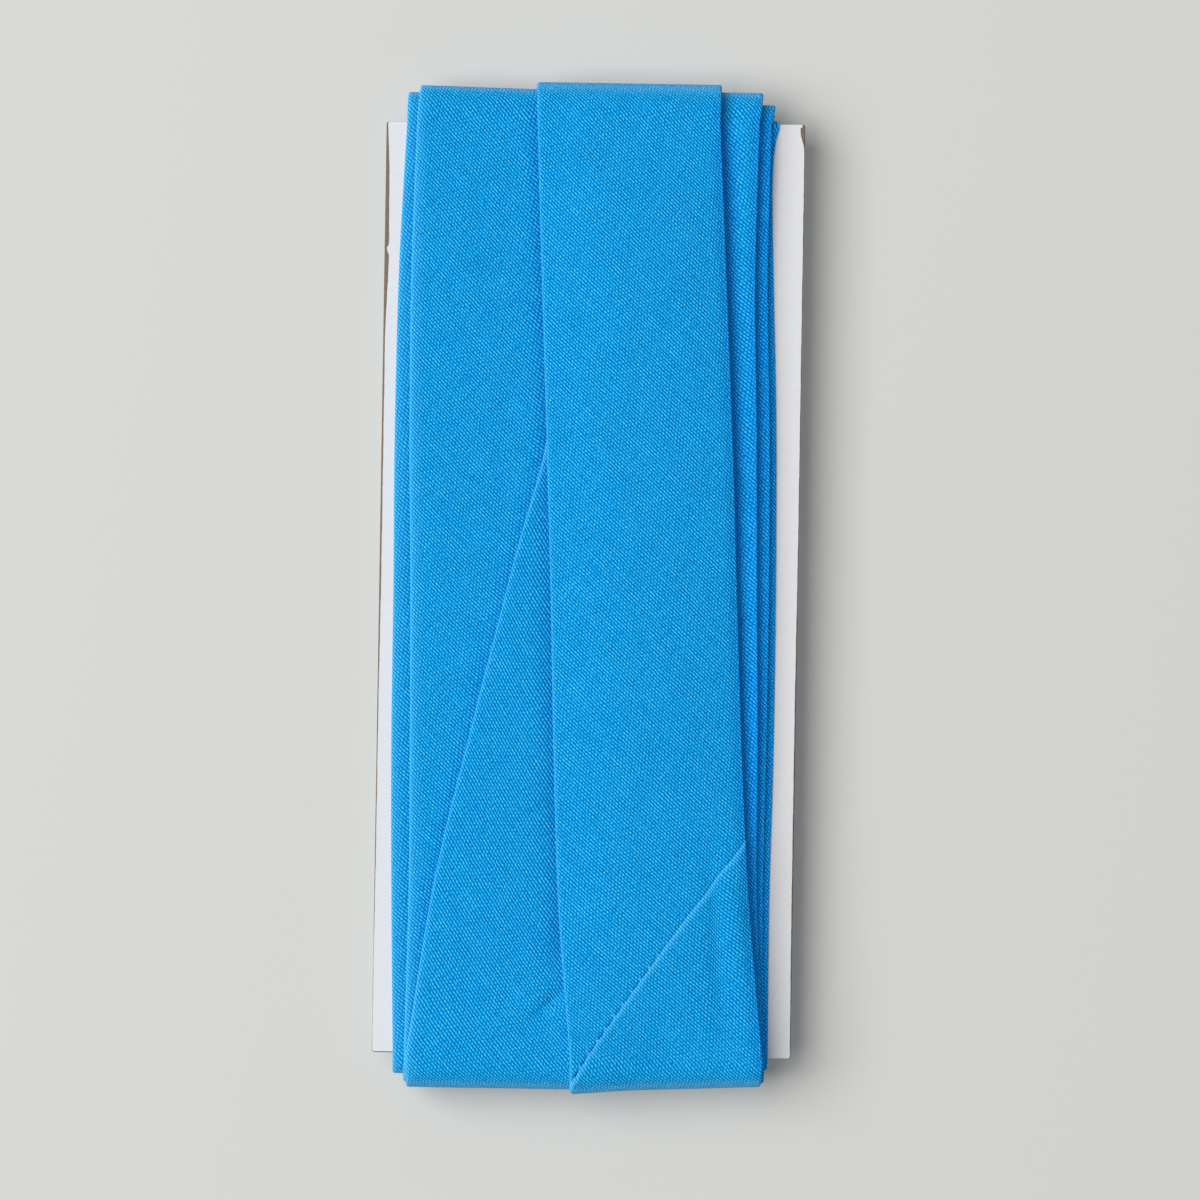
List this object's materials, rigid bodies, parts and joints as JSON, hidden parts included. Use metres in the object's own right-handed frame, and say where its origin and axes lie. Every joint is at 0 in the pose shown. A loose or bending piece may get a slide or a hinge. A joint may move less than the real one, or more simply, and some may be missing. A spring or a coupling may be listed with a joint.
{
  "type": "bias binding wound on a card",
  "caption": "Pressed cotton bias binding wound lengthwise on a flat white-lined card, with a slanting turn and a bias join on top; a sewing trim that lies flat on a surface.",
  "frame": {"origin": "bottom centre of the bounding box: under the middle of the card, on the surface the part lies on", "axes": "+X across the card to its right edge, +Y along the card to its top end, +Z out of the front, where the join and the slanting turn show"},
  "size_m": [0.056, 0.135, 0.0136],
  "materials": {
    "lined_board": "matt white paper on brown board, die cut",
    "cotton_binding": "plain-woven dyed cotton, cut on the bias and pressed"
  },
  "bodies": {
    "root": {"card": "lined_board", "binding": "cotton_binding"}
  },
  "joints": []
}
